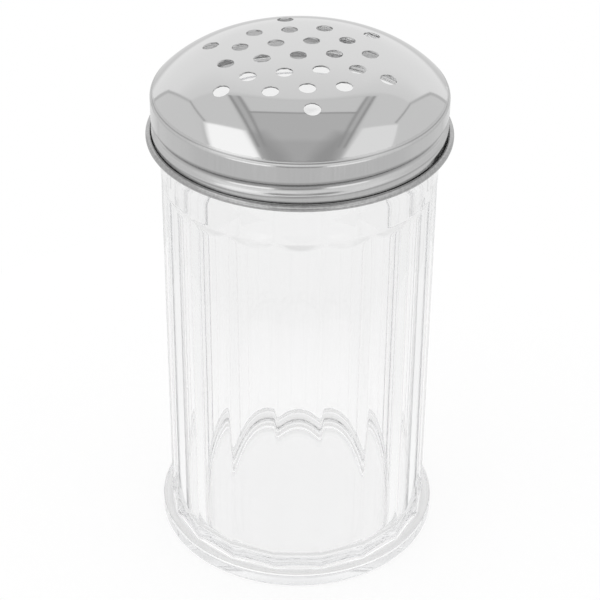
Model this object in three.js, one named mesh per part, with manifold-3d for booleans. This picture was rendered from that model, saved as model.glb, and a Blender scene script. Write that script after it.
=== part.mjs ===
// A restaurant spice shaker: a clear glass jar with upright panels, and a perforated metal screw cap.
// Millimetres, +Z up. The origin is the centre of the ring that the jar stands on, and -Y is the front.
import * as THREE from "three";
import { mergeVertices } from "three/addons/utils/BufferGeometryUtils.js";
import Module from "manifold-3d";

const wasm = await Module();
wasm.setup();

// The cap, drawn from sheet: a shallow dome, a rounded knee, a tight corner and an upright band.
const overallHeight = 138.8;
const capDepth = 21.15;
const sheet = 0.45;
const bandRadius = 36.7;
const domeRadius = 153.2;
const kneeRadius = 27.2;
const kneeSlope = 47.25;
const cornerRadius = 1.5;

// The curl that stiffens the cap's rim: rolled outwards and up, and left open beside the band.
const curlRadius = 0.925;
const curlTurn = 270;

// The groove rolled into the band. It stands out inside as the cap's thread.
const pitch = 4.23;
const grooveRise = 4.95;
const grooveDepth = 0.75;
const grooveWidth = 3.2;
const grooveFloor = 1.1;
const beadSpread = 0.15;
const grooveStart = -396;
const grooveEnd = 12;

// The holes: a six-sided field of rings, with a single hole off the middle of each side.
const holeRadius = 2.1;
const holePitch = 8.81;
const holeRings = 2;
const fieldSides = 6;
const outerHoleReach = 23.23;
const fieldTurn = 8.4;
const fieldShiftX = -0.5;
const fieldShiftY = -1.2;

// The jar's walls and floor. Its bore follows from the neck.
const neckWall = 2.7;
const bodyWall = 3.5;
const floorThickness = 3.5;
const floorFillet = 4.2;
const shoulderFillet = 0.9;

// The upright panels round the body. Each is a little hollow, and they meet in ridges.
const panelCount = 18;
const panelDip = 0.85;
const plainBand = 10.6;
const runOutHeight = 4.25;

// The foot that stands out below the panels, and the hollow under it.
const footLip = 2.5;
const footHeight = 4.1;
const footEdge = 1.2;
const footTopEdge = 0.8;
const coveRadius = 3.2;
const standWidth = 5.8;
const recessDepth = 1.1;
const recessFlare = 1.6;

// The thread on the jar's neck.
const threadDepth = 2.05;
const threadCrestWidth = 0.9;
const threadFlankShare = 0.58;
const threadStart = -150;
const threadEnd = 90;

// Clearances and tolerances, shared.
const seatGap = 0.3;
const skim = 0.08;
const overrun = 1;
const weld = 0.0001;

// How finely round shapes are cut, and how threads run out at their ends.
const jarSides = panelCount * 4;
const capSides = 60;
const holeSides = 16;
const fadeAngle = 18;
const sunkShare = 0.05;

const fullTurn = 360;
const front = -90;
const radians = THREE.MathUtils.degToRad;

// An arc of a profile as points [radius, height], with angles in degrees counted from the radius axis.
function arc(centre, radius, from, to, steps) {
  return Array.from({ length: steps + 1 }, (_, i) => {
    const angle = radians(from + ((to - from) * i) / steps);
    return [centre[0] + radius * Math.cos(angle), centre[1] + radius * Math.sin(angle)];
  });
}

// A solid from a closed geometry: equal corners are merged and empty triangles dropped.
function solid(geometry) {
  geometry.deleteAttribute("normal");
  geometry.deleteAttribute("uv");
  const merged = mergeVertices(geometry, weld);
  const index = merged.index.array;
  const kept = [];
  for (let i = 0; i < index.length; i += 3) {
    const [a, b, c] = index.subarray(i, i + 3);
    if (a !== b && b !== c && c !== a) kept.push(a, b, c);
  }
  const vertProperties = merged.getAttribute("position").array;
  return new wasm.Manifold(new wasm.Mesh({ numProp: 3, vertProperties, triVerts: new Uint32Array(kept) }));
}

// A solid of revolution about +Z. The profile runs anticlockwise and ends on the axis at both ends.
function revolve(profile, sides) {
  const points = profile.map(([r, z]) => new THREE.Vector2(Math.max(r, 0), z));
  return solid(new THREE.LatheGeometry(points, sides).rotateX(Math.PI / 2));
}

// How far a thread stands out at one angle, as a share of its full depth: its ends sink away smoothly.
function standShare(angle, start, end) {
  const inside = Math.min(angle - start, end - angle) / fadeAngle;
  return THREE.MathUtils.lerp(sunkShare, 1, THREE.MathUtils.smoothstep(inside, 0, 1));
}

// A helical ridge or groove: a bar, wide at its root and narrow at its crest, bent round the axis.
// The root and crest are radii, and the height is the one at the front.
function helix(root, rootWidth, crest, crestWidth, height, start, end) {
  const section = new THREE.Shape([
    new THREE.Vector2(-rootWidth / 2, root),
    new THREE.Vector2(rootWidth / 2, root),
    new THREE.Vector2(crestWidth / 2, crest),
    new THREE.Vector2(-crestWidth / 2, crest),
  ]);
  const steps = Math.round(((end - start) * capSides) / fullTurn);
  const bar = new THREE.ExtrudeGeometry(section, { depth: 1, steps, bevelEnabled: false });
  const place = bar.getAttribute("position");
  for (let i = 0; i < place.count; i++) {
    const angle = THREE.MathUtils.lerp(start, end, place.getZ(i));
    const r = THREE.MathUtils.lerp(root, place.getY(i), standShare(angle, start, end));
    const z = height + place.getX(i) + (pitch * (angle - front)) / fullTurn;
    place.setXYZ(i, r * Math.cos(radians(angle)), r * Math.sin(radians(angle)), z);
  }
  return solid(bar);
}

// Where the cap's arcs meet. Each arc runs smoothly into the next.
const capInside = bandRadius - sheet;
const rimHeight = overallHeight - capDepth;
const grooveHeight = rimHeight + grooveRise;
const kneeCentreRadius = bandRadius - cornerRadius - (kneeRadius - cornerRadius) * Math.sin(radians(kneeSlope));
const domeSlope = THREE.MathUtils.radToDeg(Math.asin(kneeCentreRadius / (domeRadius - kneeRadius)));
const domeCentre = [0, overallHeight - domeRadius];
const kneeCentre = [kneeCentreRadius, domeCentre[1] + (domeRadius - kneeRadius) * Math.cos(radians(domeSlope))];
const cornerCentre = [
  bandRadius - cornerRadius,
  kneeCentre[1] + (kneeRadius - cornerRadius) * Math.cos(radians(kneeSlope)),
];

// The cap's profile from the axis down to the band, set in from its outside by a depth.
function crown(depth) {
  return [
    ...arc(domeCentre, domeRadius - depth, 90, 90 - domeSlope, 3),
    ...arc(kneeCentre, kneeRadius - depth, 90 - domeSlope, 90 - kneeSlope, 6).slice(1),
    ...arc(cornerCentre, cornerRadius - depth, 90 - kneeSlope, 0, 3).slice(1),
  ];
}

// The rim's profile, from the inside of the band round the curl and back to the outside of the band.
function curl() {
  const centre = [capInside + curlRadius, rimHeight];
  return [
    ...arc(centre, curlRadius, 180, 180 + curlTurn, 9),
    ...arc(centre, curlRadius - sheet, 180 + curlTurn, 180, 9),
  ];
}

// The holes' places on the dome as if it were rolled out flat, before the field is turned and shifted.
function fieldPlaces() {
  const places = [];
  for (let i = -holeRings; i <= holeRings; i++) {
    for (let j = -holeRings; j <= holeRings; j++) {
      const across = [i + j / 2, (j * Math.sqrt(3)) / 2];
      if (Math.abs(i + j) <= holeRings) places.push([holePitch * across[0], holePitch * across[1]]);
    }
  }
  for (let side = 0; side < fieldSides; side++) {
    const angle = radians((fullTurn * (side + 0.5)) / fieldSides);
    places.push([outerHoleReach * Math.cos(angle), outerHoleReach * Math.sin(angle)]);
  }
  return places;
}

// The dome's surface at a distance from its top, measured along the sheet: radius, height and slope.
function domeAt(distance) {
  const past = distance - domeRadius * radians(domeSlope);
  const slope = past < 0 ? distance / domeRadius : radians(domeSlope) + past / kneeRadius;
  const [centre, radius] = past < 0 ? [domeCentre, domeRadius] : [kneeCentre, kneeRadius];
  return [centre[0] + radius * Math.sin(slope), centre[1] + radius * Math.cos(slope), slope];
}

// A punch for each hole, square to the sheet where it goes through.
function punches() {
  return fieldPlaces().map(([x, y]) => {
    const place = new THREE.Vector2(x, y).rotateAround(new THREE.Vector2(), radians(fieldTurn));
    place.add(new THREE.Vector2(fieldShiftX, fieldShiftY));
    const [r, z, slope] = domeAt(place.length());
    const punch = new THREE.CylinderGeometry(holeRadius, holeRadius, 2 * (sheet + overrun), holeSides);
    punch.rotateX(Math.PI / 2).rotateY(slope).translate(r, 0, z).rotateZ(place.angle());
    return solid(punch);
  });
}

// How fast the groove's flanks open, as width for each unit of depth, both flanks together.
const flankShare = (grooveWidth - grooveFloor) / grooveDepth;
const beadCrest = capInside - grooveDepth;
const beadCrestWidth = grooveFloor + 2 * beadSpread;

function buildCap() {
  const shell = revolve([...crown(sheet), ...curl(), ...crown(0).reverse()], capSides);
  const beadRoot = capInside + sheet / 2;
  const beadWidth = beadCrestWidth + flankShare * (beadRoot - beadCrest);
  const bead = helix(beadRoot, beadWidth, beadCrest, beadCrestWidth, grooveHeight, grooveStart, grooveEnd);
  const mouth = bandRadius + skim;
  const mouthWidth = grooveWidth + flankShare * skim;
  const floor = bandRadius - grooveDepth;
  const groove = helix(mouth, mouthWidth, floor, grooveFloor, grooveHeight, grooveStart, grooveEnd);
  return wasm.Manifold.difference([shell.add(bead), groove, ...punches()]);
}

// The jar's sizes that follow from the cap and the walls.
const threadCrest = capInside - seatGap;
const neckRadius = threadCrest - threadDepth;
const boreRadius = neckRadius - neckWall;
const bodyRadius = boreRadius + bodyWall;
const coreRadius = bodyRadius - 2 * panelDip;
const footRadius = bodyRadius + footLip;
const shoulderHeight = rimHeight - curlRadius - seatGap;
const panelTop = shoulderHeight - plainBand;
const floorHeight = recessDepth + floorThickness;

// The neck's rounded lip, which lies just under the knee of the cap.
const lipRadius = neckWall / 2;
const lipReach = kneeRadius - sheet - seatGap - lipRadius;
const lipCentreRadius = boreRadius + lipRadius;
const lipRise = Math.sqrt(lipReach ** 2 - (lipCentreRadius - kneeCentreRadius) ** 2);
const lipCentre = [lipCentreRadius, kneeCentre[1] + lipRise];
const lipTop = lipCentre[1] + lipRadius;

function jarOutside() {
  const cove = Math.min(coveRadius, footRadius - footTopEdge - coreRadius);
  const shoulder = [bodyRadius - shoulderFillet, shoulderHeight - shoulderFillet];
  return [
    [0, 0],
    ...arc([footRadius - footEdge, footEdge], footEdge, -90, 0, 3),
    ...arc([footRadius - footTopEdge, footHeight - footTopEdge], footTopEdge, 0, 90, 2),
    ...arc([coreRadius + cove, footHeight + cove], cove, 270, 180, 4),
    [coreRadius, panelTop - runOutHeight],
    [bodyRadius, panelTop],
    ...arc(shoulder, shoulderFillet, 0, 90, 3),
    [neckRadius, shoulderHeight],
    ...arc(lipCentre, lipRadius, 0, 90, 3),
    [0, lipTop],
  ];
}

function jarInside() {
  return [
    [0, floorHeight],
    ...arc([boreRadius - floorFillet, floorHeight + floorFillet], floorFillet, 270, 360, 5),
    ...arc(lipCentre, lipRadius, 180, 90, 3),
    [lipCentreRadius, lipTop + overrun],
    [0, lipTop + overrun],
  ];
}

// The hollow under the floor, inside the ring that the jar stands on.
function baseRecess() {
  const edge = footRadius - footEdge - standWidth;
  return [
    [0, -overrun],
    [edge + (recessFlare * overrun) / recessDepth, -overrun],
    [edge - recessFlare, recessDepth],
    [0, recessDepth],
  ];
}

// The panelled stretch of the body. Its ridges lie on the body's radius, on both sides of the front.
function panels() {
  const parts = jarSides / panelCount;
  const half = Math.PI / panelCount;
  const hollow = panelDip - bodyRadius * (1 - Math.cos(half));
  const corners = Array.from({ length: jarSides }, (_, i) => {
    const acrossShare = (2 * (i % parts)) / parts - 1;
    const flat = (bodyRadius * Math.cos(half)) / Math.cos(acrossShare * half);
    const r = flat - hollow * (1 - acrossShare ** 2);
    const angle = radians(front) + ((2 * i) / parts - 1) * half;
    return new THREE.Vector2(r * Math.cos(angle), r * Math.sin(angle));
  });
  const depth = panelTop - footHeight;
  const prism = new THREE.ExtrudeGeometry(new THREE.Shape(corners), { depth, bevelEnabled: false });
  return solid(prism.translate(0, 0, footHeight));
}

// The room under the cap that the neck's thread keeps to, whatever the cap's depth.
function capRoom() {
  const depth = sheet + seatGap - skim;
  return revolve([[0, shoulderHeight], [bandRadius - depth, shoulderHeight], ...crown(depth).reverse()], capSides);
}

// The neck's thread runs above the cap's bead, with the seat gap between their flanks.
function neckThread() {
  const root = neckRadius - lipRadius;
  const rootWidth = threadCrestWidth + 2 * threadFlankShare * (threadCrest - root);
  const beadWidth = beadCrestWidth + flankShare * (threadCrest - beadCrest);
  const flankGap = seatGap * Math.hypot(1, flankShare / 2);
  const height = grooveHeight + (beadWidth + threadCrestWidth) / 2 + flankGap;
  const ridge = helix(root, rootWidth, threadCrest, threadCrestWidth, height, threadStart, threadEnd);
  return ridge.intersect(capRoom());
}

function buildJar() {
  const outside = wasm.Manifold.union([revolve(jarOutside(), jarSides), panels(), neckThread()]);
  return outside.subtract(revolve(jarInside(), jarSides)).subtract(revolve(baseRecess(), jarSides));
}

// A named mesh from a finished solid.
function piece(name, body, material) {
  const { vertProperties, triVerts } = body.getMesh();
  const geometry = new THREE.BufferGeometry();
  geometry.setAttribute("position", new THREE.BufferAttribute(vertProperties, 3));
  geometry.setIndex(new THREE.BufferAttribute(triVerts, 1));
  const mesh = new THREE.Mesh(geometry, new THREE.MeshStandardMaterial(material));
  mesh.name = name;
  return mesh;
}

const clearGlass = { color: 0xf2f5f5, roughness: 0.04, metalness: 0, transparent: true, opacity: 0.35 };
const polishedSteel = { color: 0xc4c4c6, roughness: 0.22, metalness: 1 };

const shaker = new THREE.Group();
shaker.add(piece("glass_jar", buildJar(), clearGlass));
shaker.add(piece("perforated_cap", buildCap(), polishedSteel));

export default shaker;
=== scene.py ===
import math

import bpy
import numpy as np
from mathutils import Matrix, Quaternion, Vector
from mathutils.geometry import delaunay_2d_cdt


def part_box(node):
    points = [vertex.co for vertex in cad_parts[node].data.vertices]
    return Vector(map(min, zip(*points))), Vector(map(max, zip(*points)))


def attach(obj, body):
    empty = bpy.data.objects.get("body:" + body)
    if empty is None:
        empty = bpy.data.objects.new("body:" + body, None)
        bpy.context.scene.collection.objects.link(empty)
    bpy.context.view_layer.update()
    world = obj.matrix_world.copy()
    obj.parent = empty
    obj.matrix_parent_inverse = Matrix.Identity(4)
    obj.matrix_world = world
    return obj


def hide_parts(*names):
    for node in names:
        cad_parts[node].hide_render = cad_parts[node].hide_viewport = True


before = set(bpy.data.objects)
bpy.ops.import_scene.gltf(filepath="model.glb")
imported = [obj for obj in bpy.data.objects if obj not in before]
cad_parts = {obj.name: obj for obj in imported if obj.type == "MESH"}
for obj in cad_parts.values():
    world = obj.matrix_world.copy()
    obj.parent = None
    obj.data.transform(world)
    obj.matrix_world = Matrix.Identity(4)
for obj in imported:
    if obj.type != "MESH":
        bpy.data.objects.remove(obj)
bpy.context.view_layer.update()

# A restaurant spice shaker: a panelled glass jar under a perforated steel screw cap.
# Shapes are worked out in millimetres in the frame's own axes, and meshes are made in metres. The front is
# at an azimuth of -90 degrees.
MM = 0.001
FRONT = -90.0

# The cap's crown, corner and curl, with a crease between crown and corner that the solids don't have. The
# height is read from the frame. The sizes here and below are the solids' own, except that the curl turns
# 18 degrees further, the groove is deeper, lower and rounded and starts 2 degrees later, the holes have a
# radius 0.05 mm smaller and rounded edges, both threads fade over 24 degrees, not 18, and the panels are
# turned.
OVERALL_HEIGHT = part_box("perforated_cap")[1].z / MM
CAP_DEPTH = 21.15
SHEET = 0.45
BAND_RADIUS = 36.7
DOME_RADIUS = 153.2
KNEE_RADIUS = 27.2
KNEE_SLOPE = math.radians(47.25)
CORNER_RADIUS = 1.5
CREASE_DEPTH = 0.08
CREASE_HALF_WIDTH = 0.30
# Painted shade in the crease: the share of the steel's colour that is taken off there.
CREASE_PAINTED_SHADE = 0.30
CURL_RADIUS = 0.925
CURL_TURN = math.radians(288)

# The groove rolled into the band, as the thread. Its section is a hollow foot, a flank and a round edge
# on each side. Its painted shades, steel coloured darker to stand for the shade in and along the groove, are
# (middle, half width, fade, share), by height off its floor.
PITCH = 4.23
GROOVE_RISE = 4.55
GROOVE_DEPTH = 0.88
UPPER_FLANK_SLOPE = math.radians(50)
LOWER_FLANK_SLOPE = math.radians(45)
UPPER_EDGE_RADIUS = 0.4
UPPER_FOOT_RADIUS = 1.3
LOWER_FOOT_RADIUS = 2.0
LOWER_EDGE_RADIUS = 0.5
GROOVE_START = -394.0
GROOVE_END = 12.0
THREAD_FADE = 24.0
GROOVE_PAINTED_SHADES = ((0.85, 0.95, 0.7, 0.38), (-2.05, 0.25, 0.3, 0.22))

# The holes: a hexagon of rings about the middle one, and six more further out
HOLE_RADIUS = 2.05
HOLE_EDGE = 0.09
HOLE_PITCH = 8.81
HOLE_RINGS = 2
OUTER_HOLE_REACH = 23.23
FIELD_TURN = math.radians(8.4)
FIELD_SHIFT = (-0.5, -1.2)
FIELD_RADIUS = 29.0

# The jar's walls, neck and floor
NECK_WALL = 2.7
BODY_WALL = 3.5
THREAD_DEPTH = 2.05
THREAD_CREST = 0.9
THREAD_FLANK = 0.58
THREAD_LIFT = 2.7
THREAD_START = -150.0
THREAD_END = 90.0
FLOOR_THICKNESS = 3.5
FLOOR_FILLET = 4.2
SHOULDER_FILLET = 0.9
SEAT_GAP = 0.3

# The jar's panels and foot
PANELS = 18
PANEL_DIP = 0.85
PANEL_TURN = 0.6
RIDGE_SHARE = 0.06
PLAIN_BAND = 10.6
RUN_OUT = 4.25
FOOT_LIP = 2.5
FOOT_HEIGHT = 4.1
FOOT_EDGE = 1.2
FOOT_TOP_EDGE = 0.8
COVE_RADIUS = 3.2
STAND_WIDTH = 5.8
RECESS_DEPTH = 1.1
RECESS_FLARE = 1.6

# How softly the panels run into the foot, the slope at their top and the plain band above
COVE_BLEND = 0.8
SLOPE_BLEND = 0.12
BAND_BLEND = 0.06

# The unevenness of the moulded faces. In the bore it dies out towards the lip and the floor.
OUTSIDE_RIPPLE = 0.012
BORE_RIPPLE = 0.05
RIPPLE_TOP_FADE = 12
RIPPLE_FLOOR_FADE = 8

# Fineness of the meshes: columns round, steps along arcs, distances between rings and the margins that are
# kept round the holes and inside the rim
CAP_COLUMNS = 240
PANEL_COLUMNS = 42
HOLE_COLUMNS = 36
UNDERSIDE_RINGS = (6, 14, 22)
FLOOR_RINGS = (20, 12, 5)
PLAIN_BAND_RINGS = (4, 6.5)
RECESS_STEPS = 14
FOOT_EDGE_STEPS = 16
FOOT_TOP_STEPS = 14
COVE_STEPS = 22
PANEL_RINGS = 20
RUN_OUT_STEP = 0.25
RUN_OUT_BELOW = 1.5
RUN_OUT_ABOVE = 2.0
SHOULDER_STEPS = 6
NECK_STEP = 0.35
LIP_STEPS = 14
BORE_RINGS = 24
BORE_TOP_DROP = 2
BORE_FOOT_RISE = 0.8
FLOOR_FILLET_STEPS = 30
STAND_INSET = 1
CROWN_RINGS = 14
CREASE_RINGS = 13
CORNER_STEPS = 8
BAND_STEP = 0.1
CURL_STEPS = 26
CURL_INSIDE_STEPS = 18
FLANK_FOOT_STEPS = 8
FLANK_EDGE_STEPS = 12
FIELD_SPACING = 1.3
FIELD_ROW_SHARE = 1.16
HOLE_MARGIN = 1.3
HOLE_FILL_MARGIN = 0.75
RIM_MARGIN = 1.7
RIM_FILL_MARGIN = 0.9
MERGE_DISTANCE = 1e-6

# Sizes that follow from those above.
BAND_INSIDE = BAND_RADIUS - SHEET
RIM_HEIGHT = OVERALL_HEIGHT - CAP_DEPTH
GROOVE_HEIGHT = RIM_HEIGHT + GROOVE_RISE
KNEE_CENTRE_R = BAND_RADIUS - CORNER_RADIUS - (KNEE_RADIUS - CORNER_RADIUS) * math.sin(KNEE_SLOPE)
DOME_SLOPE = math.asin(KNEE_CENTRE_R / (DOME_RADIUS - KNEE_RADIUS))
DOME_CENTRE_Z = OVERALL_HEIGHT - DOME_RADIUS
KNEE_CENTRE_Z = DOME_CENTRE_Z + (DOME_RADIUS - KNEE_RADIUS) * math.cos(DOME_SLOPE)
CORNER_CENTRE_R = BAND_RADIUS - CORNER_RADIUS
CORNER_CENTRE_Z = KNEE_CENTRE_Z + (KNEE_RADIUS - CORNER_RADIUS) * math.cos(KNEE_SLOPE)

NECK_RADIUS = BAND_INSIDE - SEAT_GAP - THREAD_DEPTH
BORE_RADIUS = NECK_RADIUS - NECK_WALL
BODY_RADIUS = BORE_RADIUS + BODY_WALL
CORE_RADIUS = BODY_RADIUS - 2 * PANEL_DIP
FOOT_RADIUS = BODY_RADIUS + FOOT_LIP
SHOULDER_Z = RIM_HEIGHT - CURL_RADIUS - SEAT_GAP
PANEL_TOP = SHOULDER_Z - PLAIN_BAND
FLOOR_Z = RECESS_DEPTH + FLOOR_THICKNESS
LIP_RADIUS = NECK_WALL / 2
LIP_R = BORE_RADIUS + LIP_RADIUS
LIP_REACH = KNEE_RADIUS - SHEET - SEAT_GAP - LIP_RADIUS
LIP_Z = KNEE_CENTRE_Z + math.sqrt(LIP_REACH ** 2 - (LIP_R - KNEE_CENTRE_R) ** 2)


# Mesh helpers

def make_piece(name, points, faces, normals=None):
    """A smooth-shaded object from points in millimetres. Given normals replace the mesh's own."""
    mesh = bpy.data.meshes.new(name)
    mesh.from_pydata((np.asarray(points) * MM).tolist(), [], faces)
    mesh.update()
    mesh.polygons.foreach_set("use_smooth", [True] * len(mesh.polygons))
    if normals is not None:
        mesh.normals_split_custom_set_from_vertices(normals)
    obj = bpy.data.objects.new(name, mesh)
    bpy.context.scene.collection.objects.link(obj)
    return obj


def arc(centre, radius, start, end, steps):
    """Points (radius, height) on an arc, with angles in radians counted from the radius axis."""
    turn = np.linspace(start, end, steps + 1)
    return np.stack([centre[0] + radius * np.cos(turn), centre[1] + radius * np.sin(turn)], 1)


def smooth_step(x):
    x = np.clip(x, 0, 1)
    return x * x * (3 - 2 * x)


def soft_max(a, b, blend):
    return (a + b + np.sqrt((a - b) ** 2 + blend ** 2)) / 2


def soft_min(a, b, blend):
    return (a + b - np.sqrt((a - b) ** 2 + blend ** 2)) / 2


def grid_faces(rings):
    """Quads between neighbouring rings of point numbers. They face out where the rings climb."""
    faces = []
    for low, high in zip(rings[:-1], rings[1:]):
        for j in range(len(low)):
            k = (j + 1) % len(low)
            faces.append((low[j], low[k], high[k], high[j]))
    return faces


def fan_faces(centre, ring, upwards):
    """Triangles from a centre point to a ring."""
    count = len(ring)
    order = 1 if upwards else -1
    return [(centre, ring[j], ring[(j + 1) % count])[::order] for j in range(count)]


def screw_share(angles, heights, middle, start, end, section):
    """How much of a thread stands at each place. Its section gives that share by height off its middle."""
    share = np.zeros(np.broadcast(angles, heights).shape)
    for turn in (-360.0, 0.0, 360.0):
        along = angles + turn
        off = heights - middle - PITCH * (along - FRONT) / 360.0
        fade = smooth_step(np.minimum(along - start, end - along) / THREAD_FADE)
        share = np.maximum(share, section(off) * fade)
    return share


# The glass jar

def panel_columns():
    """Azimuths in degrees, closer together at the ridges, which are about ten degrees off the front."""
    share = np.linspace(-1, 1, PANEL_COLUMNS, endpoint=False)
    share = (share + np.sin(share * math.pi / 2)) / 2
    step = 360.0 / PANELS
    middles = FRONT + PANEL_TURN + step * np.arange(PANELS)
    return (middles[:, None] + share[None, :] * step / 2).ravel()


def panel_radius(azimuth):
    """The radius of the panels' hollow faces, with rounded ridges between them."""
    step = 360.0 / PANELS
    across = np.abs((azimuth - FRONT - PANEL_TURN + step / 2) % step / (step / 2) - 1)
    off_ridge = np.sqrt((1 - across) ** 2 + RIDGE_SHARE ** 2)
    hollow = off_ridge * (2 - off_ridge)
    at_ridge = RIDGE_SHARE * (2 - RIDGE_SHARE)
    return BODY_RADIUS - PANEL_DIP * (hollow - at_ridge) / (1 - at_ridge)


def ripple(azimuth, z, size):
    """The slight unevenness of moulded glass, mostly upright."""
    a = np.radians(azimuth)
    wave = 0.40 * np.sin(7 * a + 0.021 * z + 0.6) + 0.25 * np.sin(13 * a - 0.013 * z + 2.1)
    wave += 0.30 * np.sin(4 * a + 0.047 * z + 1.3) + 0.20 * np.sin(0.06 * z + 2 * np.sin(a + 0.8))
    return size * wave


def neck_thread_section(off):
    """The neck thread's share of its depth at a height off its middle."""
    flank = THREAD_FLANK * THREAD_DEPTH
    return smooth_step((THREAD_CREST / 2 + flank - np.abs(off)) / flank)


def jar_rings():
    """Rings of (radius, height) over the jar, from the middle underneath, over the lip, to the floor."""
    azimuth = panel_columns()
    panels = panel_radius(azimuth)
    edge = FOOT_RADIUS - FOOT_EDGE - STAND_WIDTH
    rings = []

    def plain(points):
        for r, z in points:
            rings.append((np.full(len(azimuth), r), np.full(len(azimuth), z)))

    plain([(r, RECESS_DEPTH) for r in UNDERSIDE_RINGS])
    for t in np.linspace(0, 1, RECESS_STEPS + 1):
        plain([(edge - RECESS_FLARE + RECESS_FLARE * t, RECESS_DEPTH * (1 - smooth_step(t)))])
    plain([(edge + STAND_INSET, 0), (FOOT_RADIUS - FOOT_EDGE - STAND_INSET, 0)])
    plain(arc((FOOT_RADIUS - FOOT_EDGE, FOOT_EDGE), FOOT_EDGE, -math.pi / 2, 0, FOOT_EDGE_STEPS))
    top_edge = (FOOT_RADIUS - FOOT_TOP_EDGE, FOOT_HEIGHT - FOOT_TOP_EDGE)
    plain(arc(top_edge, FOOT_TOP_EDGE, 0, math.pi / 2, FOOT_TOP_STEPS))

    cove = (CORE_RADIUS + COVE_RADIUS, FOOT_HEIGHT + COVE_RADIUS)
    for r, z in arc(cove, COVE_RADIUS, 1.5 * math.pi, math.pi, COVE_STEPS):
        rings.append((soft_max(r, panels, COVE_BLEND), np.full(len(azimuth), z)))
    low, high = cove[1], PANEL_TOP - RUN_OUT - RUN_OUT_BELOW
    for z in np.linspace(low, high, PANEL_RINGS)[1:]:
        rings.append((panels + ripple(azimuth, z, OUTSIDE_RIPPLE), np.full(len(azimuth), z)))
    slope = (BODY_RADIUS - CORE_RADIUS) / RUN_OUT
    for z in np.arange(high + RUN_OUT_STEP, PANEL_TOP + RUN_OUT_ABOVE, RUN_OUT_STEP):
        cone = CORE_RADIUS + slope * (z - PANEL_TOP + RUN_OUT)
        r = soft_min(BODY_RADIUS, soft_max(cone, panels, SLOPE_BLEND), BAND_BLEND)
        rings.append((r, np.full(len(azimuth), z)))
    plain([(BODY_RADIUS, PANEL_TOP + rise) for rise in PLAIN_BAND_RINGS])
    shoulder = (BODY_RADIUS - SHOULDER_FILLET, SHOULDER_Z - SHOULDER_FILLET)
    plain(arc(shoulder, SHOULDER_FILLET, 0, math.pi / 2, SHOULDER_STEPS)[:-1])

    middle = GROOVE_HEIGHT + THREAD_LIFT
    for z in np.arange(SHOULDER_Z, LIP_Z, NECK_STEP):
        heights = np.full(len(azimuth), z)
        stand = screw_share(azimuth, heights, middle, THREAD_START, THREAD_END, neck_thread_section)
        rings.append((NECK_RADIUS + THREAD_DEPTH * stand, heights))
    plain(arc((LIP_R, LIP_Z), LIP_RADIUS, 0, math.pi, LIP_STEPS))

    corner = (BORE_RADIUS - FLOOR_FILLET, FLOOR_Z + FLOOR_FILLET)
    for z in np.linspace(LIP_Z - BORE_TOP_DROP, corner[1] + BORE_FOOT_RISE, BORE_RINGS):
        settle = smooth_step((LIP_Z - z) / RIPPLE_TOP_FADE) * smooth_step((z - corner[1]) / RIPPLE_FLOOR_FADE)
        rings.append((BORE_RADIUS + settle * ripple(azimuth, z, BORE_RIPPLE), np.full(len(azimuth), z)))
    plain(arc(corner, FLOOR_FILLET, 0, -math.pi / 2, FLOOR_FILLET_STEPS))
    plain([(r, FLOOR_Z) for r in FLOOR_RINGS])
    return azimuth, rings


def build_jar():
    """The jar as one closed skin."""
    azimuth, rings = jar_rings()
    turn = np.radians(azimuth)
    count = len(turn)
    points = [np.stack([r * np.cos(turn), r * np.sin(turn), z], 1) for r, z in rings]
    numbers = [list(range(i * count, (i + 1) * count)) for i in range(len(rings))]
    points = np.concatenate(points + [[[0, 0, RECESS_DEPTH], [0, 0, FLOOR_Z]]])
    below, above = len(points) - 2, len(points) - 1
    faces = fan_faces(below, numbers[0], False) + grid_faces(numbers) + fan_faces(above, numbers[-1], True)
    return make_piece("clear_glass_jar", points, faces)


# The steel cap

def crown_at(distance):
    """Centre, radius and slope of the cap's top at a distance from its apex along the sheet."""
    past = distance - DOME_RADIUS * DOME_SLOPE
    on_knee = past > 0
    slope = np.where(on_knee, DOME_SLOPE + past / KNEE_RADIUS, distance / DOME_RADIUS)
    centre_r = np.where(on_knee, KNEE_CENTRE_R, 0.0)
    centre_z = np.where(on_knee, KNEE_CENTRE_Z, DOME_CENTRE_Z)
    radius = np.where(on_knee, KNEE_RADIUS, DOME_RADIUS)
    return centre_r, centre_z, radius, slope


def onto_crown(flat, depth):
    """Points of the rolled-out sheet laid onto the crown, and the surface's normals there."""
    distance = np.maximum(np.hypot(flat[:, 0], flat[:, 1]), 1e-9)
    centre_r, centre_z, radius, slope = crown_at(distance)
    outward = flat / distance[:, None]
    r = centre_r + (radius - depth) * np.sin(slope)
    z = centre_z + (radius - depth) * np.cos(slope)
    points = np.column_stack([outward * r[:, None], z])
    normals = np.column_stack([outward * np.sin(slope)[:, None], np.cos(slope)])
    return points, normals


def hole_places():
    """The holes' middles on the rolled-out sheet."""
    places = []
    for i in range(-HOLE_RINGS, HOLE_RINGS + 1):
        for j in range(-HOLE_RINGS, HOLE_RINGS + 1):
            if abs(i + j) <= HOLE_RINGS:
                places.append((HOLE_PITCH * (i + j / 2), HOLE_PITCH * j * math.sqrt(3) / 2))
    for side in range(6):
        angle = math.radians(60 * side + 30)
        places.append((OUTER_HOLE_REACH * math.cos(angle), OUTER_HOLE_REACH * math.sin(angle)))
    cosine, sine = math.cos(FIELD_TURN), math.sin(FIELD_TURN)
    turn = np.array([[cosine, -sine], [sine, cosine]])
    return np.array(places) @ turn.T + FIELD_SHIFT


def circle(centre, radius, count):
    turn = np.linspace(0, 2 * math.pi, count, endpoint=False)
    return np.stack([centre[0] + radius * np.cos(turn), centre[1] + radius * np.sin(turn)], 1)


def nearest_hole(points, holes):
    """The distance from each point to the middle of the hole nearest to it."""
    return np.hypot(*(points[:, None, :] - holes[None]).transpose(2, 0, 1)).min(1)


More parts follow.
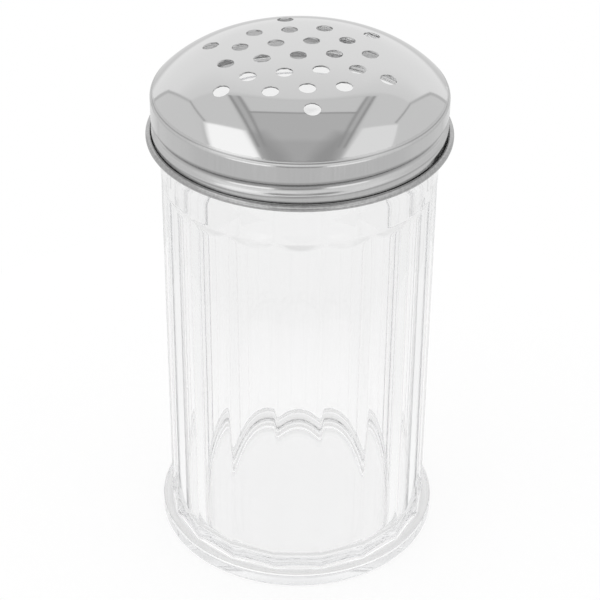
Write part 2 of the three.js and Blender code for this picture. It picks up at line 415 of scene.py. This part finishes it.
def field_mesh():
    """The perforated middle, rolled out: its points, triangles, rim ring and hole rings."""
    holes = hole_places()
    loops = [circle((0, 0), FIELD_RADIUS, CAP_COLUMNS)]
    loops += [circle(hole, HOLE_RADIUS + HOLE_EDGE, HOLE_COLUMNS) for hole in holes]
    fill = [circle(hole, HOLE_RADIUS + HOLE_FILL_MARGIN, HOLE_COLUMNS // 2) for hole in holes]
    fill.append(circle((0, 0), FIELD_RADIUS - RIM_FILL_MARGIN, CAP_COLUMNS // 2))
    across = np.arange(-FIELD_RADIUS, FIELD_RADIUS, FIELD_SPACING)
    gx, gy = np.meshgrid(across, across * math.sqrt(3) / 2 * FIELD_ROW_SHARE)
    gx = gx + np.where(np.arange(len(across))[:, None] % 2, FIELD_SPACING / 2, 0)
    grid = np.stack([gx.ravel(), gy.ravel()], 1)
    clear = nearest_hole(grid, holes) > HOLE_RADIUS + HOLE_MARGIN
    clear &= np.hypot(grid[:, 0], grid[:, 1]) < FIELD_RADIUS - RIM_MARGIN
    flat = np.concatenate(loops + fill + [grid[clear]])
    edges, rings, first = [], [], 0
    for loop in loops:
        ring = list(range(first, first + len(loop)))
        edges += list(zip(ring, ring[1:] + ring[:1]))
        rings.append(ring)
        first += len(loop)
    out = delaunay_2d_cdt([Vector(p) for p in flat], edges, [], 0, MERGE_DISTANCE)
    number = [origins[0] for origins in out[3]]
    triangles = [tuple(number[v] for v in face) for face in out[2]]
    middles = np.array([flat[list(t)].mean(0) for t in triangles])
    in_hole = nearest_hole(middles, holes) < HOLE_RADIUS
    kept = [t for t, hidden in zip(triangles, in_hole) if not hidden]
    return flat, kept, rings[0], list(zip(holes, rings[1:]))


def flank_outline(slope, foot_radius, edge_radius):
    """Heights off the groove's floor and shares of its depth: a hollow foot, a flank and a round edge."""
    foot = arc((0, foot_radius), foot_radius, -math.pi / 2, slope - math.pi / 2, FLANK_FOOT_STEPS)
    edge = arc((0, -edge_radius), edge_radius, math.pi / 2 + slope, math.pi / 2, FLANK_EDGE_STEPS)
    run = (GROOVE_DEPTH - (foot[-1, 1] + (edge[-1] - edge[0])[1])) / math.tan(slope)
    edge += foot[-1] + (run, run * math.tan(slope)) - edge[0]
    outline = np.concatenate([foot, edge])
    return outline[:, 0], 1 - outline[:, 1] / GROOVE_DEPTH


UPPER_FLANK = flank_outline(UPPER_FLANK_SLOPE, UPPER_FOOT_RADIUS, UPPER_EDGE_RADIUS)
LOWER_FLANK = flank_outline(LOWER_FLANK_SLOPE, LOWER_FOOT_RADIUS, LOWER_EDGE_RADIUS)


def groove_section(off):
    """The groove's share of its depth at a height off its floor: a short flank above and a long one below."""
    return np.where(off > 0, np.interp(off, *UPPER_FLANK), np.interp(-off, *LOWER_FLANK))


def band_radius(azimuth, z):
    """The outside of the band, with the thread groove rolled into it."""
    groove = screw_share(azimuth, z, GROOVE_HEIGHT, GROOVE_START, GROOVE_END, groove_section)
    return BAND_RADIUS - GROOVE_DEPTH * groove


def painted_shade_section(off):
    """Painted shade in the groove: darker steel colour across its upper half and along its lower edge."""
    painted_shade = np.zeros(np.shape(off))
    for middle, half_width, fade, share in GROOVE_PAINTED_SHADES:
        painted_shade = painted_shade + share * smooth_step((half_width - np.abs(off - middle)) / fade + 0.5)
    return painted_shade


def band_painted_shade(azimuth, z):
    """How much painted shade darkens the steel on the band."""
    return screw_share(azimuth, z, GROOVE_HEIGHT, GROOVE_START, GROOVE_END, painted_shade_section)


def crown_rows(depth):
    """Rows (radius, height, slope) from the perforated middle's rim to the start of the corner."""
    reach = DOME_RADIUS * DOME_SLOPE + KNEE_RADIUS * (KNEE_SLOPE - DOME_SLOPE) - CREASE_HALF_WIDTH
    rows = []
    for distance in np.linspace(FIELD_RADIUS, reach, CROWN_RINGS):
        centre_r, centre_z, radius, slope = (float(v) for v in crown_at(distance))
        r = centre_r + (radius - depth) * math.sin(slope)
        z = centre_z + (radius - depth) * math.cos(slope)
        rows.append((r, z, slope))
    return rows


def corner_rows(depth, crease):
    """Rows (radius, height, painted shade) across the crease between dome and corner, and round the corner.
    """
    rows = []
    round_length = CORNER_RADIUS * (math.pi / 2 - KNEE_SLOPE)
    across = np.linspace(-1, 1, CREASE_RINGS) * CREASE_HALF_WIDTH
    round_corner = np.linspace(CREASE_HALF_WIDTH, round_length, CORNER_STEPS + 1)[1:]
    for off in np.concatenate([across, round_corner]):
        on_knee = off < 0
        radius = KNEE_RADIUS if on_knee else CORNER_RADIUS
        centre_r = KNEE_CENTRE_R if on_knee else CORNER_CENTRE_R
        centre_z = KNEE_CENTRE_Z if on_knee else CORNER_CENTRE_Z
        share = float(smooth_step(1 - abs(off) / CREASE_HALF_WIDTH))
        slope = KNEE_SLOPE + off / radius
        size = radius - depth - crease * share
        r = centre_r + size * math.sin(slope)
        z = centre_z + size * math.cos(slope)
        rows.append((r, z, CREASE_PAINTED_SHADE * share))
    return rows


def build_cap():
    """The cap as one closed sheet. Its rings go from under the holes, round the curl and back on top."""
    flat, triangles, rim, holes = field_mesh()
    points, normals, painted_shades, faces = [], [], [], []

    def add(new_points, new_normals, painted_shade=0.0):
        first = sum(len(p) for p in points)
        points.append(np.asarray(new_points))
        normals.append(np.asarray(new_normals))
        painted_shades.append(np.broadcast_to(painted_shade, len(new_points)))
        return list(range(first, first + len(new_points)))

    top, top_normals = onto_crown(flat, 0)
    under, under_normals = onto_crown(flat, SHEET)
    on_top = add(top, top_normals)
    on_under = add(under, -under_normals)
    for a, b, c in triangles:
        faces.append((on_top[a], on_top[b], on_top[c]))
        faces.append((on_under[c], on_under[b], on_under[a]))

    # Each hole's wall has four rows: halfway round its lower edge, foot, head, halfway round its upper edge.
    for hole, ring in holes:
        rows = [[on_under[v] for v in ring]]
        for turn in np.radians([45, 90, 90, 45]):
            low = len(rows) < 3
            out = HOLE_RADIUS + HOLE_EDGE * (1 - math.sin(turn))
            depth = HOLE_EDGE * (1 - math.cos(turn))
            spot = circle(hole, out, HOLE_COLUMNS)
            wall, face_normals = onto_crown(spot, SHEET - depth if low else depth)
            side = np.column_stack([hole - spot, np.zeros(HOLE_COLUMNS)])
            side /= np.linalg.norm(side, axis=1, keepdims=True)
            rows.append(add(wall, side * math.sin(turn) + face_normals * math.cos(turn) * (-1 if low else 1)))
        rows.append([on_top[v] for v in ring])
        faces += grid_faces([row[::-1] for row in rows])

    turn = np.linspace(0, 2 * math.pi, CAP_COLUMNS, endpoint=False)
    azimuth = np.degrees(turn)
    azimuth = np.where(azimuth > 180, azimuth - 360, azimuth)
    zero = np.zeros((CAP_COLUMNS, 3))

    def ring(r, z, slope=None, side=1, painted_shade=0.0):
        r = np.broadcast_to(r, turn.shape)
        z = np.broadcast_to(z, turn.shape)
        spots = np.stack([r * np.cos(turn), r * np.sin(turn), z], 1)
        if slope is None:
            return add(spots, zero, painted_shade)
        sine = math.sin(slope)
        facing = np.stack([sine * np.cos(turn), sine * np.sin(turn), np.full(turn.shape, math.cos(slope))], 1)
        return add(spots, side * facing)

    rows = [[on_under[v] for v in rim]]
    for r, z, slope in crown_rows(SHEET)[1:]:
        rows.append(ring(r, z, slope, -1))
    for r, z, _ in corner_rows(SHEET, 0.0):
        rows.append(ring(r, z))
    heights = np.arange(CORNER_CENTRE_Z - BAND_STEP, RIM_HEIGHT + 0.4 * BAND_STEP, -BAND_STEP)
    for z in heights[1::2]:
        rows.append(ring(band_radius(azimuth, z) - SHEET, z))
    centre = (BAND_INSIDE + CURL_RADIUS, RIM_HEIGHT)
    for r, z in arc(centre, CURL_RADIUS, math.pi, math.pi + CURL_TURN, CURL_STEPS):
        rows.append(ring(r, z))
    for r, z in arc(centre, CURL_RADIUS - SHEET, math.pi + CURL_TURN, math.pi, CURL_INSIDE_STEPS):
        rows.append(ring(r, z))
    for z in heights[::-1]:
        rows.append(ring(band_radius(azimuth, z), z, painted_shade=band_painted_shade(azimuth, z)))
    for r, z, painted_shade in corner_rows(0, CREASE_DEPTH)[::-1]:
        rows.append(ring(r, z, painted_shade=painted_shade))
    for r, z, slope in crown_rows(0)[:0:-1]:
        rows.append(ring(r, z, slope))
    rows.append([on_top[v] for v in rim])
    faces += grid_faces(rows)
    cap = make_piece("perforated_steel_cap", np.concatenate(points), faces, np.concatenate(normals).tolist())
    # The painted shade of the groove and the crease is kept on the points, for the steel's colour.
    painted_shade = cap.data.attributes.new("painted_shade", "FLOAT", "POINT")
    painted_shade.data.foreach_set("value", np.concatenate(painted_shades).astype(np.float32))
    return cap


# Materials

class Nodes:
    """A short way to write node trees."""

    def __init__(self, tree):
        self.tree = tree
        tree.nodes.clear()

    def add(self, kind, inputs=None, **settings):
        node = self.tree.nodes.new(kind)
        for key, value in settings.items():
            setattr(node, key, value)
        for key, value in (inputs or {}).items():
            if isinstance(value, bpy.types.NodeSocket):
                self.tree.links.new(value, node.inputs[key])
            else:
                node.inputs[key].default_value = value
        return node

    def math(self, operation, a, b=0.0, c=0.0, clamp=False):
        node = self.add("ShaderNodeMath", {0: a, 1: b, 2: c}, operation=operation, use_clamp=clamp)
        return node.outputs[0]

    def ramp(self, value, low, high, out_low=0.0, out_high=1.0, kind="SMOOTHSTEP"):
        inputs = {"Value": value, 1: low, 2: high, 3: out_low, 4: out_high}
        return self.add("ShaderNodeMapRange", inputs, interpolation_type=kind).outputs[0]

    def mix(self, share, a, b):
        node = self.add("ShaderNodeMix", {0: share}, data_type="FLOAT")
        for socket, value in ((2, a), (3, b)):
            if isinstance(value, bpy.types.NodeSocket):
                self.tree.links.new(value, node.inputs[socket])
            else:
                node.inputs[socket].default_value = value
        return node.outputs[0]

    def noise(self, vector, scale, detail=2.0, roughness=0.5):
        inputs = {"Vector": vector, "Scale": scale, "Detail": detail, "Roughness": roughness}
        return self.add("ShaderNodeTexNoise", inputs).outputs[0]

    def stretched(self, vector, scale):
        return self.add("ShaderNodeMapping", {"Vector": vector, "Scale": scale}).outputs[0]

    def grey(self, value):
        return self.add("ShaderNodeCombineColor", {0: value, 1: value, 2: value}).outputs[0]


def new_material(name):
    material = bpy.data.materials.new(name)
    material.use_nodes = True
    return material, Nodes(material.node_tree)


GLASS_COLOUR = (0.985, 0.985, 0.985, 1)
GLASS_INSIDE = (0.05, 0.06, 0.10, 1)
GLASS_DENSITY = 2.4
GLASS_IOR = 1.5
SWIRL_SCALE = (70, 70, 16)
SWIRL_STRENGTH = 0.06
SWIRL_HEIGHT = 0.1 * MM


def glass_material():
    """Clear glass with faint upright swirls, which takes a little light along the way through it."""
    material, n = new_material("clear_glass")
    place = n.add("ShaderNodeTexCoord").outputs["Object"]
    swirl = n.noise(n.stretched(place, SWIRL_SCALE), 1.0, 1.0)
    relief = {"Strength": SWIRL_STRENGTH, "Distance": SWIRL_HEIGHT, "Height": swirl}
    bump = n.add("ShaderNodeBump", relief).outputs[0]
    inputs = {
        "Base Color": GLASS_COLOUR,
        "Roughness": 0.0,
        "IOR": GLASS_IOR,
        "Transmission Weight": 1.0,
        "Normal": bump,
    }
    shader = n.add("ShaderNodeBsdfPrincipled", inputs)
    inside = n.add("ShaderNodeVolumeAbsorption", {"Color": GLASS_INSIDE, "Density": GLASS_DENSITY})
    n.add("ShaderNodeOutputMaterial", {"Surface": shader.outputs[0], "Volume": inside.outputs[0]})
    return material


# Where the satin of the band ends under the dome, how ragged its margin is and how it blends
SATIN_TOP = 129.5
MARGIN_SCALE = (1800, 1800, 1800)
MARGIN_REACH = 0.35
SATIN_BLEND = 0.04

# Scales of the marks: upright draw lines, clouds and scratches of the polish, specks of the curl
DRAW_SCALE = (2600, 2600, 140)
CLOUD_SCALE = 130.0
SCRATCH_SCALE = (140, 3200, 900)
SCRATCH_RANGE = (0.70, 0.78)
SPECK_SCALE = 1500.0
SPECK_RANGE = (0.35, 0.65)
CURL_RANGE = (BAND_RADIUS + 0.1, BAND_RADIUS + 0.3)
DRAW_STRENGTH = 0.25
DRAW_HEIGHT = 0.02 * MM

# Roughness and shade of each finish, and what its marks add. The satin's and the curl's roughness is their
# finish. Their shades below the polished one are painted shade, for the darker surroundings they reflect.
POLISHED_ROUGHNESS, CLOUD_ROUGHNESS, SCRATCH_ROUGHNESS = 0.035, 0.05, 0.06
SATIN_ROUGHNESS, DRAW_ROUGHNESS = 0.12, 0.08
CURL_ROUGHNESS, SPECK_ROUGHNESS = 0.20, 0.04
POLISHED_SHADE = 0.60
SATIN_SHADE, DRAW_SHADE = 0.51, 0.06
CURL_SHADE, SPECK_SHADE = 0.365, 0.07


def steel_material():
    """Stainless steel, polished on the dome, satin on the band and rougher on the curl, with painted shade
    off the dome.
    """
    material, n = new_material("stainless_steel")
    place = n.add("ShaderNodeTexCoord").outputs["Object"]
    axes = n.add("ShaderNodeSeparateXYZ", {0: place}).outputs
    height = n.math("MULTIPLY", axes[2], 1 / MM)
    draw = n.noise(n.stretched(place, DRAW_SCALE), 1.0, 2.0)
    teeth = n.noise(n.stretched(place, MARGIN_SCALE), 1.0, 1.0)
    margin = n.math("MULTIPLY_ADD", n.math("SUBTRACT", teeth, 0.5), MARGIN_REACH, SATIN_TOP)
    satin = n.ramp(n.math("SUBTRACT", margin, height), -SATIN_BLEND, SATIN_BLEND)
    cloud = n.noise(place, CLOUD_SCALE, 4.0)
    scratches = n.ramp(n.noise(n.stretched(place, SCRATCH_SCALE), 1.0, 1.0), *SCRATCH_RANGE)
    polished = n.math("MULTIPLY_ADD", cloud, CLOUD_ROUGHNESS, POLISHED_ROUGHNESS)
    polished = n.math("MULTIPLY_ADD", scratches, SCRATCH_ROUGHNESS, polished)
    streaked = n.math("MULTIPLY_ADD", draw, DRAW_ROUGHNESS, SATIN_ROUGHNESS)
    roughness = n.mix(satin, polished, streaked)
    # Painted shade: the satin is coloured below the polished steel.
    shade = n.mix(satin, POLISHED_SHADE, n.math("MULTIPLY_ADD", draw, DRAW_SHADE, SATIN_SHADE))
    # Painted shade in the groove and the crease takes its share off the steel's colour.
    painted_shade = n.add("ShaderNodeAttribute", attribute_name="painted_shade").outputs["Fac"]
    shade = n.math("MULTIPLY", shade, n.math("SUBTRACT", 1.0, painted_shade))
    out = n.add("ShaderNodeCombineXYZ", {0: axes[0], 1: axes[1]}).outputs[0]
    radius = n.add("ShaderNodeVectorMath", {0: out}, operation="LENGTH").outputs["Value"]
    curl = n.ramp(radius, CURL_RANGE[0] * MM, CURL_RANGE[1] * MM)
    specks = n.ramp(n.noise(place, SPECK_SCALE, 2.0), *SPECK_RANGE)
    roughness = n.mix(curl, roughness, n.math("MULTIPLY_ADD", specks, SPECK_ROUGHNESS, CURL_ROUGHNESS))
    # Painted shade: the curl is coloured darker still, with specks of its own tone.
    shade = n.mix(curl, shade, n.math("MULTIPLY_ADD", specks, SPECK_SHADE, CURL_SHADE))
    height_map = n.math("MULTIPLY", draw, n.math("SUBTRACT", satin, curl))
    relief = {"Strength": DRAW_STRENGTH, "Distance": DRAW_HEIGHT, "Height": height_map}
    bump = n.add("ShaderNodeBump", relief).outputs[0]
    inputs = {"Base Color": n.grey(shade), "Metallic": 1.0, "Roughness": roughness, "Normal": bump}
    shader = n.add("ShaderNodeBsdfPrincipled", inputs)
    n.add("ShaderNodeOutputMaterial", {"Surface": shader.outputs[0]})
    return material


# The surroundings: a white light tent, described by what stands in each direction. Its outlines and levels
# are set so that steel and glass reflect what they do in the photograph.

ROOF_PANELS = (
    # name, level, softness, corners as (x / z, y / z) seen from the shaker, anticlockwise
    ("left wall", 0.90, 0.10,
     ((-0.90, 0.35), (-1.02, 0.95), (-2.14, 2.59), (-40, 46.3), (-40, -1.6), (-1.1, -0.2))),
    ("right wall", 0.89, 0.10,
     ((0.92, 0.35), (1.15, -0.1), (40, -1.6), (40, 47.0), (2.01, 2.42), (1.04, 0.95))),
    ("ceiling", 0.89, 0.06, ((-1.30, -1.0), (1.35, -1.0), (1.04, 0.93), (-1.02, 0.93))),
    ("left lamp", 1.50, 0.04, ((-0.92, 0.34), (-1.45, -1.0), (-0.44, -1.0), (-0.42, 0.02))),
    ("right lamp", 1.13, 0.03, ((0.96, 0.34), (0.50, 0.10), (0.48, -1.0), (1.50, -1.0))),
    ("middle frame", 0.66, 0.05, ((-0.42, -0.80), (0.46, -0.80), (0.44, 0.84), (-0.40, 0.84))),
    ("middle back", 0.87, 0.03, ((-0.30, 0.43), (0.36, 0.43), (0.36, 0.84), (-0.30, 0.84))),
    ("middle front", 0.68, 0.03, ((-0.28, -0.20), (0.32, -0.20), (0.36, 0.40), (-0.31, 0.40))),
    ("middle low", 0.60, 0.10, ((-0.24, -0.75), (0.28, -0.75), (0.32, -0.18), (-0.28, -0.18))),
    ("left fold", 0.49, 0.16,
     ((-0.40, -0.02), (-0.40, -0.90), (-0.10, -0.90), (-0.13, -0.50), (-0.29, -0.02))),
    ("right fold", 0.47, 0.16,
     ((0.29, -0.02), (0.13, -0.50), (0.10, -0.90), (0.42, -0.90), (0.40, -0.02))),
    ("left lamp edge", 0.70, 0.16, ((-0.93, 0.30), (-1.53, -1.0), (-1.47, -1.0), (-0.92, 0.30))),
    ("right lamp edge", 0.70, 0.16, ((0.97, 0.30), (0.98, 0.30), (1.58, -1.0), (1.52, -1.0))),
    ("left seam", 0.42, 0.02, ((-0.40, -0.3), (-0.375, -0.3), (-0.375, 0.84), (-0.40, 0.84))),
    ("right seam", 0.42, 0.02, ((0.415, -0.3), (0.44, -0.3), (0.44, 0.84), (0.415, 0.84))),
    ("left inner seam", 0.45, 0.02, ((-0.335, -0.3), (-0.31, -0.3), (-0.30, 0.84), (-0.325, 0.84))),
    ("right inner seam", 0.45, 0.02, ((0.35, -0.3), (0.375, -0.3), (0.375, 0.84), (0.35, 0.84))),
    ("cross bar", 0.48, 0.02, ((-0.31, 0.395), (0.36, 0.395), (0.36, 0.43), (-0.31, 0.43))),
    ("left post", 0.56, 0.03, ((-0.905, 0.35), (-0.865, 0.35), (-1.005, 0.95), (-1.045, 0.95))),
    ("right post", 0.56, 0.03, ((0.88, 0.35), (0.92, 0.35), (1.065, 0.95), (1.025, 0.95))),
    ("left back seam", 0.70, 0.06, ((-2.07, 2.63), (-38.8, 47.3), (-41.2, 45.2), (-2.17, 2.53))),
    ("right back seam", 0.70, 0.06, ((2.04, 2.37), (40.9, 46.0), (38.6, 48.0), (1.96, 2.46))),
    ("left back edge", 0.66, 0.05, ((-1.04, 0.92), (-1.00, 0.94), (-2.10, 2.62), (-2.18, 2.57))),
    ("right back edge", 0.66, 0.05, ((1.02, 0.94), (1.06, 0.92), (2.05, 2.40), (1.97, 2.45))),
)

FRONT_PANELS = (
    # name, level, softness, corners as (x / -y, z / -y) seen from the shaker, anticlockwise
    ("left low light", 1.65, 0.10, ((-1.35, -0.47), (-0.34, -0.47), (-0.34, -0.03), (-1.35, -0.03))),
    ("right low light", 1.50, 0.10, ((0.34, -0.47), (1.25, -0.47), (1.25, -0.03), (0.34, -0.03))),
    ("left high light", 1.20, 0.20, ((-2.4, 0.22), (-0.04, 0.22), (-0.04, 1.6), (-2.4, 1.6))),
    ("right high light", 1.08, 0.20, ((0.04, 0.22), (2.2, 0.22), (2.2, 1.6), (0.04, 1.6))),
    ("opening", 0.50, 0.12, ((-0.33, -0.47), (0.33, -0.47), (0.33, -0.02), (-0.33, -0.02))),
)


# Ramps of the tent's level: from, to, level before, level after. Below the horizon they go by height,
# behind and above it by how far back the roof is, and ahead by the slope of the way there.
BACK_BELOW = (-0.50, -0.26, 0.90, 0.80)
BACK_ABOVE = (0.8, 1.9, 0.97, 1.10)
FRONT_LEVEL = (-0.60, -0.45, 0.83, 0.98)
HORIZON = (-0.10, 0.02)
SIDES = (-0.12, 0.12)
LEAST_DIVISOR = 0.02


def corner_mask(n, direction, corners, softness):
    """1 inside a convex outline on a plane one unit away, falling to 0 across its edges."""
    inside = None
    for (ax, ay), (bx, by) in zip(corners, corners[1:] + corners[:1]):
        length = math.hypot(bx - ax, by - ay)
        nx, ny = (ay - by) / length, (bx - ax) / length
        plane = (nx / softness, ny / softness, 0.5 - (nx * ax + ny * ay) / softness)
        dot = n.add("ShaderNodeVectorMath", {0: direction, 1: plane}, operation="DOT_PRODUCT")
        edge = dot.outputs["Value"]
        inside = edge if inside is None else n.math("MINIMUM", inside, edge)
    return n.math("ADD", inside, 0.0, clamp=True)


def build_world():
    """Light by direction alone. The camera sees white, and steel and glass see the tent."""
    world = bpy.data.worlds.new("light_tent")
    bpy.context.scene.world = world
    world.use_nodes = True
    n = Nodes(world.node_tree)
    way = n.add("ShaderNodeTexCoord").outputs["Generated"]
    x, y, z = n.add("ShaderNodeSeparateXYZ", {0: way}).outputs
    up = n.math("MAXIMUM", z, LEAST_DIVISOR)
    ahead = n.math("MAXIMUM", n.math("MULTIPLY", y, -1.0), LEAST_DIVISOR)
    x_up, y_up = n.math("DIVIDE", x, up), n.math("DIVIDE", y, up)
    x_ahead, z_ahead = n.math("DIVIDE", x, ahead), n.math("DIVIDE", z, ahead)
    roof = n.add("ShaderNodeCombineXYZ", {0: x_up, 1: y_up, 2: 1.0}).outputs[0]
    wall = n.add("ShaderNodeCombineXYZ", {0: x_ahead, 1: z_ahead, 2: 1.0}).outputs[0]
    back = n.mix(n.ramp(z, *HORIZON), n.ramp(z, *BACK_BELOW), n.ramp(y_up, *BACK_ABOVE))
    front = n.ramp(z_ahead, *FRONT_LEVEL)
    for _, strength, softness, corners in FRONT_PANELS:
        front = n.mix(corner_mask(n, wall, corners, softness), front, strength)
    level = n.mix(n.ramp(y, *SIDES), front, back)
    for _, strength, softness, corners in ROOF_PANELS:
        level = n.mix(corner_mask(n, roof, corners, softness), level, strength)
    camera = n.add("ShaderNodeLightPath").outputs["Is Camera Ray"]
    strength = n.mix(camera, level, 1.0)
    background = n.add("ShaderNodeBackground", {"Color": (1, 1, 1, 1), "Strength": strength})
    n.add("ShaderNodeOutputWorld", {"Surface": background.outputs[0]})


FLOOR_RADIUS = 150.0
FLOOR_COLUMNS = 180
FLOOR_GAP = 0.05
FLOOR_GLOW = 0.86
FLOOR_SHADE = 0.16

# What glass sees of the floor is painted darker: painted shade far from the jar, and a painted shadow under
# the ring that the jar stands on.
FLOOR_FALL = 0.08
FALL_RANGE = (38, 110)
FLOOR_UNDER = 0.14
UNDER_RADIUS = 34.5
UNDER_RANGE = (3, 5)


def build_floor():
    """A white floor. Most of its white is its own, so that the shadow on it stays light."""
    rim = circle((0, 0), FLOOR_RADIUS, FLOOR_COLUMNS)
    points = np.column_stack([rim, np.full(len(rim), -FLOOR_GAP)])
    floor = make_piece("floor", points, [tuple(range(len(rim)))])
    material, n = new_material("floor_white")
    path = n.add("ShaderNodeLightPath").outputs
    seen = n.math("MAXIMUM", path["Is Camera Ray"], path["Is Glossy Ray"])
    seen = n.math("MAXIMUM", seen, path["Is Transmission Ray"])
    place = n.add("ShaderNodeTexCoord").outputs["Object"]
    distance = n.add("ShaderNodeVectorMath", {0: place}, operation="LENGTH").outputs["Value"]
    # Painted shade and shadow, only in what glass sees of the floor.
    fall = n.ramp(distance, FALL_RANGE[0] * MM, FALL_RANGE[1] * MM, 0.0, FLOOR_FALL)
    off_ring = n.math("ABSOLUTE", n.math("SUBTRACT", distance, UNDER_RADIUS * MM))
    under = n.ramp(off_ring, UNDER_RANGE[0] * MM, UNDER_RANGE[1] * MM, FLOOR_UNDER, 0.0)
    fall = n.math("ADD", fall, under)
    fall = n.math("MULTIPLY", fall, path["Is Transmission Ray"])
    strength = n.math("MULTIPLY", seen, n.math("SUBTRACT", FLOOR_GLOW, fall))
    glow = n.add("ShaderNodeEmission", {"Strength": strength})
    shade = n.add("ShaderNodeBsdfDiffuse", {"Color": (FLOOR_SHADE, FLOOR_SHADE, FLOOR_SHADE, 1)})
    both = n.add("ShaderNodeAddShader", {0: glow.outputs[0], 1: shade.outputs[0]})
    n.add("ShaderNodeOutputMaterial", {"Surface": both.outputs[0]})
    floor.data.materials.append(material)


# The camera at the photograph's viewing angle

FRAME_PIXELS = 600
SENSOR_WIDTH = 36.0
CAMERA_DISTANCE = 507.69 * MM
CAMERA_PITCH = math.radians(34.1075)
CAMERA_ROLL = math.radians(0.4572)
AIM_HEIGHT = 66.83 * MM
FOCAL_PIXELS = 1939.0
CENTRE_COLUMN = 298.449


def build_camera():
    data = bpy.data.cameras.new("camera")
    data.sensor_width = SENSOR_WIDTH
    data.lens = data.sensor_width * FOCAL_PIXELS / FRAME_PIXELS
    data.shift_x = (FRAME_PIXELS / 2 - CENTRE_COLUMN) / FRAME_PIXELS
    camera = bpy.data.objects.new("camera", data)
    bpy.context.scene.collection.objects.link(camera)
    back = Vector((0, -math.cos(CAMERA_PITCH), math.sin(CAMERA_PITCH)))
    camera.location = Vector((0, 0, AIM_HEIGHT)) + back * CAMERA_DISTANCE
    camera.rotation_mode = "QUATERNION"
    camera.rotation_quaternion = (-back).to_track_quat("-Z", "Y") @ Quaternion((0, 0, 1), CAMERA_ROLL)
    bpy.context.scene.camera = camera


# Everything is made here. Light is followed through enough bounces to get out of thick glass.

LIGHT_BOUNCES = 32

build_camera()
build_world()
build_floor()

jar = build_jar()
jar.data.materials.append(glass_material())
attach(jar, "jar")
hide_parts("glass_jar")

cap = build_cap()
cap.data.materials.append(steel_material())
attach(cap, "cap")
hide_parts("perforated_cap")

bpy.context.scene.view_settings.view_transform = "Standard"

cycles = bpy.context.scene.cycles
cycles.max_bounces = LIGHT_BOUNCES
cycles.glossy_bounces = LIGHT_BOUNCES
cycles.transmission_bounces = LIGHT_BOUNCES
